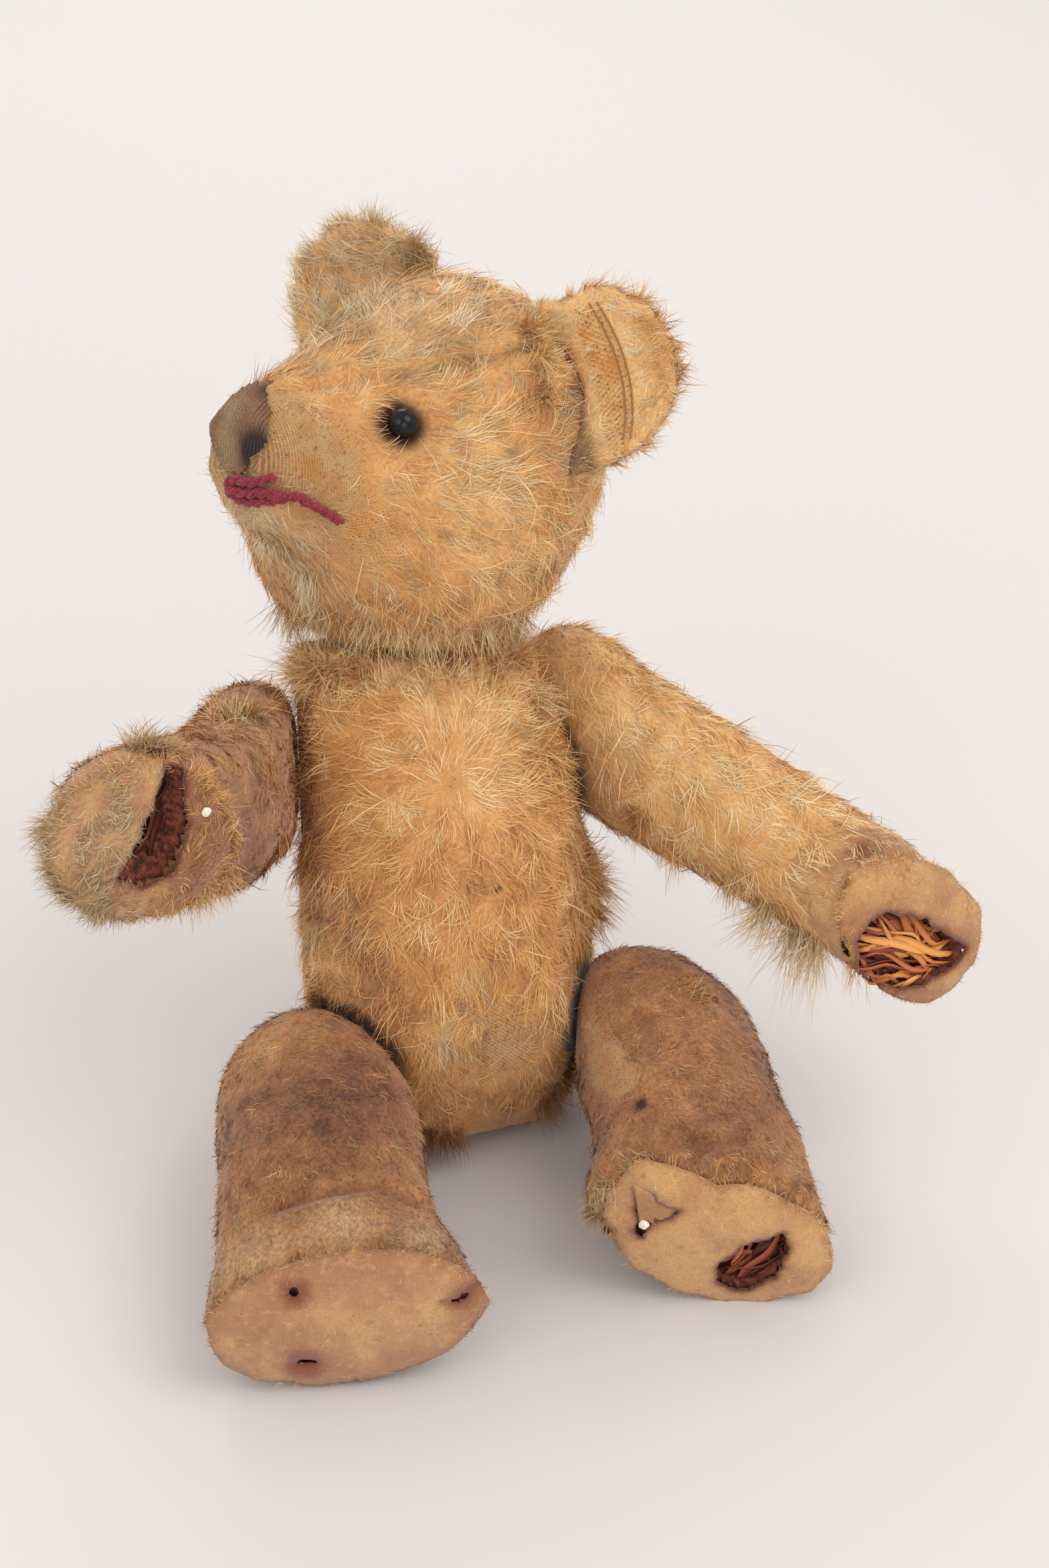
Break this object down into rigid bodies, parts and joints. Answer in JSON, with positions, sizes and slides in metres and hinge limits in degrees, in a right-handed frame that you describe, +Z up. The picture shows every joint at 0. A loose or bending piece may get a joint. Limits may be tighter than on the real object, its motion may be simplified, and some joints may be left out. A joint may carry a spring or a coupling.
{
  "type": "teddy bear",
  "caption": "Threadbare jointed teddy bear, wood-wool stuffed, sitting: turning head, swinging arms and legs, worn-through felt pads.",
  "frame": {"origin": "the point on the floor under the middle of the bear's seat", "axes": "+Z up, -Y forward out of the chest, +X towards the bear's left"},
  "size_m": [0.1987, 0.1847, 0.1863],
  "materials": {
    "mohair": "worn golden mohair plush, matted and dirty",
    "felt": "thin worn felt",
    "wood_wool": "packed curled wood shavings",
    "fibreboard": "pressed board, unpainted",
    "steel": "dull wire and washers",
    "black_glass": "opaque black, polished",
    "floss": "worn stitched floss",
    "red_yarn": "twisted yarn"
  },
  "bodies": {
    "torso": {"torso_cover": "mohair", "torso_stuffing": "wood_wool", "neck_body_disc": "fibreboard", "neck_body_washer": "steel", "neck_cotter_pin": "steel", "arm_right_body_disc": "fibreboard", "arm_right_body_washer": "steel", "arm_right_cotter_pin": "steel", "arm_left_body_disc": "fibreboard", "arm_left_body_washer": "steel", "arm_left_cotter_pin": "steel", "leg_right_body_disc": "fibreboard", "leg_right_body_washer": "steel", "leg_right_cotter_pin": "steel", "leg_left_body_disc": "fibreboard", "leg_left_body_washer": "steel", "leg_left_cotter_pin": "steel"},
    "head": {"head_cover": "mohair", "head_stuffing": "wood_wool", "ear_left": "mohair", "ear_right": "mohair", "eye_left": "black_glass", "eye_right": "black_glass", "nose_stitching": "floss", "mouth_stitching": "red_yarn", "neck_disc": "fibreboard", "neck_washer": "steel"},
    "arm_right": {"arm_right_cover": "mohair", "arm_right_stuffing": "wood_wool", "arm_right_pad": "felt", "arm_right_disc": "fibreboard", "arm_right_washer": "steel"},
    "arm_left": {"arm_left_cover": "mohair", "arm_left_stuffing": "wood_wool", "arm_left_pad": "felt", "arm_left_disc": "fibreboard", "arm_left_washer": "steel"},
    "leg_right": {"leg_right_cover": "mohair", "leg_right_stuffing": "wood_wool", "leg_right_pad": "felt", "leg_right_disc": "fibreboard", "leg_right_washer": "steel"},
    "leg_left": {"leg_left_cover": "mohair", "leg_left_stuffing": "wood_wool", "leg_left_pad": "felt", "leg_left_disc": "fibreboard", "leg_left_washer": "steel"}
  },
  "joints": [
    {"name": "neck_turn", "type": "hinge", "parent": "torso", "child": "head", "pos_m": [-0.002, 0.033, 0.109], "axis": [0.1001, 0.2702, 0.9576], "continuous": true},
    {"name": "arm_right_swing", "type": "hinge", "parent": "torso", "child": "arm_right", "pos_m": [-0.026, 0.031, 0.084], "axis": [-0.968, 0.2508, 0], "range_deg": [-40, 40]},
    {"name": "arm_left_swing", "type": "hinge", "parent": "torso", "child": "arm_left", "pos_m": [0.0306, 0.0274, 0.08], "axis": [0.9522, 0.2807, 0.1203], "range_deg": [-70, 60]},
    {"name": "leg_right_swing", "type": "hinge", "parent": "torso", "child": "leg_right", "pos_m": [-0.0265, -0.0074, 0.027], "axis": [-0.8634, -0.502, 0.0502], "range_deg": [-75, 25]},
    {"name": "leg_left_swing", "type": "hinge", "parent": "torso", "child": "leg_left", "pos_m": [0.0269, -0.0072, 0.028], "axis": [0.8858, -0.453, 0.1007], "range_deg": [-40, 62]}
  ]
}
